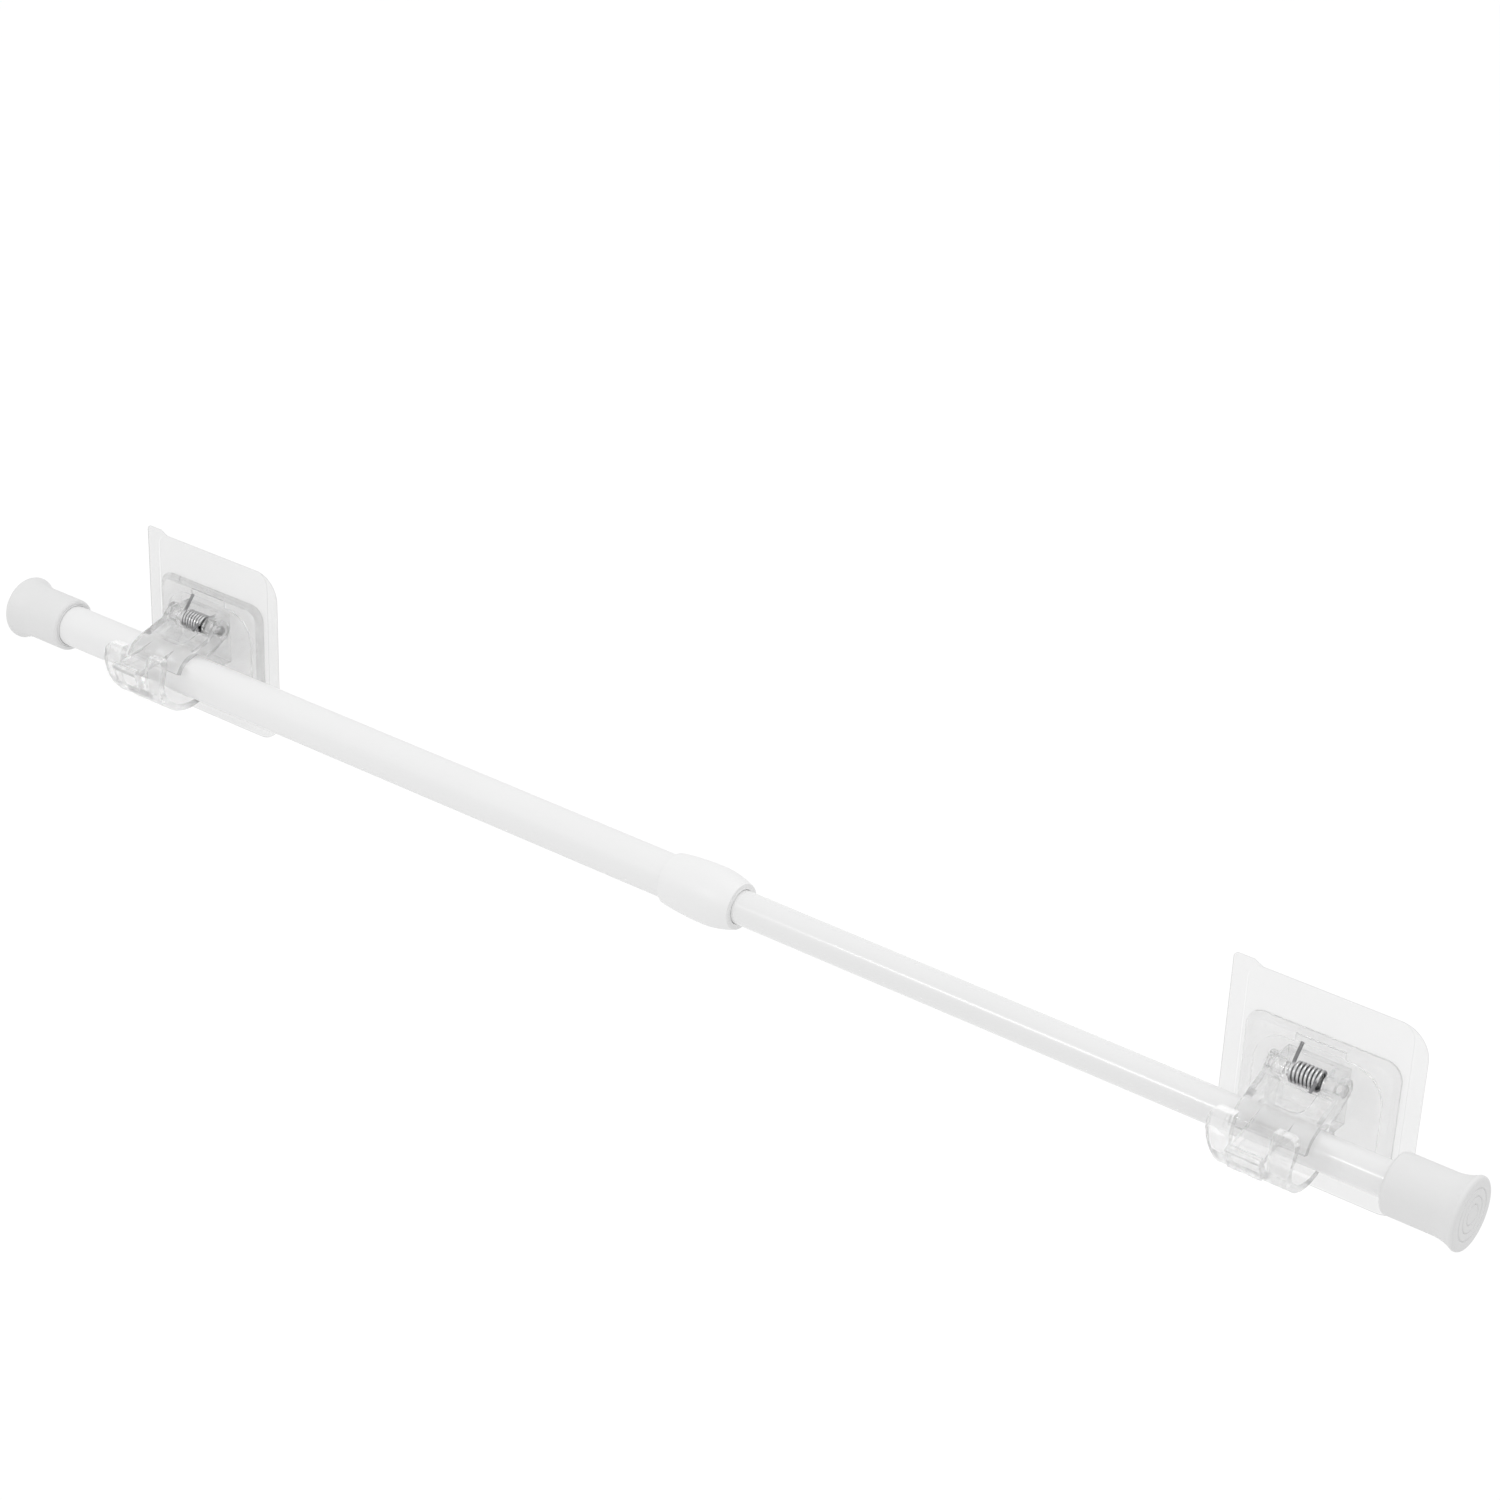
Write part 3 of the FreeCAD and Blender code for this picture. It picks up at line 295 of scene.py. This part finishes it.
def spring_wire(name, middle, radius):
    """Drawn wire, with a painted highlight on the crests of its turns and painted shade between them and on its
    legs.
    """
    finish = Finish(name)
    draw = finish.noise(500, 3, 0.6, stretch=(0.3, 1.0, 1.0))
    off_axis = finish.vector("MULTIPLY", finish.vector("SUBTRACT", finish.place(), middle), (0, 1, 1))
    reach = finish.vector("LENGTH", off_axis, out="Value") - radius
    # Painted highlight on the crest of each turn, painted shade in the valleys between turns and on the legs.
    painted_crest_highlight = (reach / crest_highlight_height).at_least(0).at_most(1)
    leg = ((reach - leg_shade_start) / 0.0004).at_least(0).at_most(1)
    painted_highlight_and_shade = painted_crest_highlight * (1 - 0.78 * leg) * (0.7 + 0.3 * draw)
    finish.surface(finish.node("ShaderNodeBsdfPrincipled", inputs={
        "Base Color": finish.shades(painted_highlight_and_shade, (0.13, 0.13, 0.135), (0.66, 0.66, 0.665)),
        "Metallic": 1.0,
        "Roughness": 0.2 + 0.12 * draw,
        "Normal": finish.bump(draw, 0.1, 0.00005)}))
    return finish


def wound_wire(name, finish, middle, radius, wire, length, start, turns, legs=(0.0, 0.0)):
    """Round wire wound about X round the middle, with straight legs off both ends of the coil."""
    steps = round(turns * steps_per_turn)
    line = []
    for step in range(steps + 1):
        share = step / steps
        angle = start + share * turns * math.tau
        outward = Vector((0, math.cos(angle), math.sin(angle)))
        onward = Vector((0, -math.sin(angle), math.cos(angle)))
        centre = middle + Vector((length * (share - 0.5), 0, 0))
        line.append((centre + radius * outward, outward, onward, wire / 2))
    for leg, end, way in ((legs[0], 0, -1), (legs[1], -1, 1)):
        point, outward, onward, thick = line[end]
        tip = [(point + way * (leg - cut * wire) * onward, outward, onward, thick * width)
               for cut, width in ((0.12, 1.0), (0.0, 0.76))]
        line = tip[::-1] + line if way < 0 else line + tip
    mesh = bmesh.new()
    rings = []
    for point, outward, onward, thick in line:
        across = onward.cross(outward)
        rings.append([mesh.verts.new(point + thick * (math.cos(turn) * outward + math.sin(turn) * across))
                      for turn in (math.tau * side / wire_sides for side in range(wire_sides))])
    for ring, following in zip(rings, rings[1:]):
        for side in range(wire_sides):
            after = (side + 1) % wire_sides
            mesh.faces.new((ring[side], ring[after], following[after], following[side])).smooth = True
    mesh.faces.new(rings[0][::-1])
    mesh.faces.new(rings[-1])
    bmesh.ops.recalc_face_normals(mesh, faces=mesh.faces)
    data = bpy.data.meshes.new(name)
    mesh.to_mesh(data)
    mesh.free()
    data.materials.append(finish.made)
    thing = bpy.data.objects.new(name, data)
    bpy.context.scene.collection.objects.link(thing)
    return thing


hinge_back = 0.0115
hinge_height = 0.0115
coil_radius = 0.0027
coil_half = 0.00392
coil_wire = 0.001
# Wire finish with painted highlights on the crests and painted shade in the valleys and on the legs.
wire_with_painted_shine = spring_wire("spring_wire_painted_shine", (0, hinge_back, hinge_height), coil_radius)
for side, along, lever_slope in (("left", 0.066, 16.74), ("right", 0.466, 22.76)):
    first = math.radians(140)
    last = math.radians(90 + lever_slope + 10.9)
    hinge = Vector((along, hinge_back, hinge_height))
    coil = wound_wire(f"torsion_coil_{side}", wire_with_painted_shine, hinge, coil_radius, coil_wire, 2 * coil_half, first,
                      7 + (last - first) / math.tau, legs=(0.0074, 0.005))
    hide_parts(f"torsion_spring_{side}")
    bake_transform(coil)


# Tension spring: the same wire, wound open, between the spindle and the stop inside the thinner tube.
# It is pressed as the rod is set between two walls, and pushes the caps against them.
tension_radius = 0.0036
tension_wire = 0.0009
tension_turns = 8
spring_low, spring_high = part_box("tension_spring")
spring_middle = Vector(((spring_low.x + spring_high.x) / 2, 0, 0))
spring = wound_wire("tension_coil", spring_wire("tension_spring_wire", (0, 0, 0), tension_radius),
                    spring_middle, tension_radius, tension_wire,
                    spring_high.x - spring_low.x - tension_wire, 0.0, tension_turns)
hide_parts("tension_spring")
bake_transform(spring)


# Twist lock inside the tubes: a split shoe, a tapered spindle, a bush and a spring stop,
# all moulded in plain tough plastic with a slightly greasy matt skin.
tough = Finish("matt_lock_plastic")
cloud = tough.noise(140, 3)
tough.surface(tough.node("ShaderNodeBsdfPrincipled", inputs={
    "Base Color": tough.shades(cloud, (0.62, 0.62, 0.60), (0.72, 0.72, 0.70)),
    "Roughness": 0.45 + 0.2 * cloud,
    "Normal": tough.bump(cloud, 0.15, 0.0003)}))
for node in ("lock_shoe", "lock_screw", "spindle_bush", "spring_stop"):
    dress(node, tough)


# Plain white floor under the rod. It shows white to the camera, in gloss and through clear plastic,
# and keeps a soft shadow.
rod_middle = 0.26
floor_height = -0.12
bpy.ops.mesh.primitive_plane_add(size=12, location=(rod_middle, 0, floor_height))
floor = bpy.context.object
floor.name = "floor"


def looked_at(finish):
    """1 where the eye looks straight, in a gloss or through clear plastic, and 0 for the light itself."""
    straight, mirrored, through = (finish.node("ShaderNodeLightPath", out=f"Is {kind} Ray")
                                   for kind in ("Camera", "Glossy", "Transmission"))
    return straight.at_least(mirrored).at_least(through)


paper = Finish("white_floor")
matt = paper.node("ShaderNodeBsdfDiffuse", inputs={"Color": (0.9, 0.9, 0.9, 1)})
glow = paper.node("ShaderNodeEmission", inputs={"Color": (1, 1, 1, 1), "Strength": 1.05})
paper.surface(paper.node("ShaderNodeMixShader", inputs={0: 0.85 * looked_at(paper), 1: matt, 2: glow}))
floor.data.materials.append(paper.made)


# Daylight tent: an even white room all round, and a large soft lamp above and a little behind.
# A narrow strip lamp in front on the left draws the bright line along the thinner tube.
room = Finish("white_room", bpy.data.worlds, "ShaderNodeOutputWorld")
dim = room.node("ShaderNodeBackground", inputs={"Color": (1, 1, 1, 1), "Strength": 0.79})
white = room.node("ShaderNodeBackground", inputs={"Color": (1, 1, 1, 1), "Strength": 1.0})
room.surface(room.node("ShaderNodeMixShader", inputs={0: looked_at(room), 1: dim, 2: white}))
bpy.context.scene.world = room.made


def lamp(name, place, target, width, height, power):
    """A rectangular lamp at place that faces target."""
    light = bpy.data.lights.new(name, "AREA")
    light.shape = "RECTANGLE"
    light.size = width
    light.size_y = height
    light.energy = power
    thing = bpy.data.objects.new(name, light)
    thing.location = place
    thing.rotation_euler = (Vector(target) - Vector(place)).to_track_quat("-Z", "Y").to_euler()
    bpy.context.scene.collection.objects.link(thing)


lamp("key", (0.7, 0.45, 1.35), (rod_middle, 0, 0), 1.2, 0.8, 4.8)
lamp("strip", (-0.03, -0.9, 0.57), (0.4, 0, 0), 0.46, 0.035, 1.7)


# Camera: a long lens from the front right and above, as the photograph was taken.
camera = bpy.data.objects.new("camera", bpy.data.cameras.new("camera"))
azimuth, elevation, roll = math.radians(37.174), math.radians(26.91), math.radians(2.372)
back = Vector((math.sin(azimuth) * math.cos(elevation), -math.cos(azimuth) * math.cos(elevation),
               math.sin(elevation)))
turn = (-back).to_track_quat("-Z", "Y").to_matrix() @ Matrix.Rotation(roll, 3, "Z")
camera.matrix_world = Matrix.Translation((0.80619, -0.67512, 0.47916)) @ turn.to_4x4()
sensor_width = 36
focal_length_in_pixels = 3504.55
picture_width_in_pixels = 1500
camera.data.sensor_width = sensor_width
camera.data.lens = focal_length_in_pixels / picture_width_in_pixels * sensor_width
camera.data.clip_start = 0.05
camera.data.clip_end = 50
bpy.context.scene.collection.objects.link(camera)
bpy.context.scene.camera = camera

bpy.context.scene.view_settings.view_transform = "Standard"
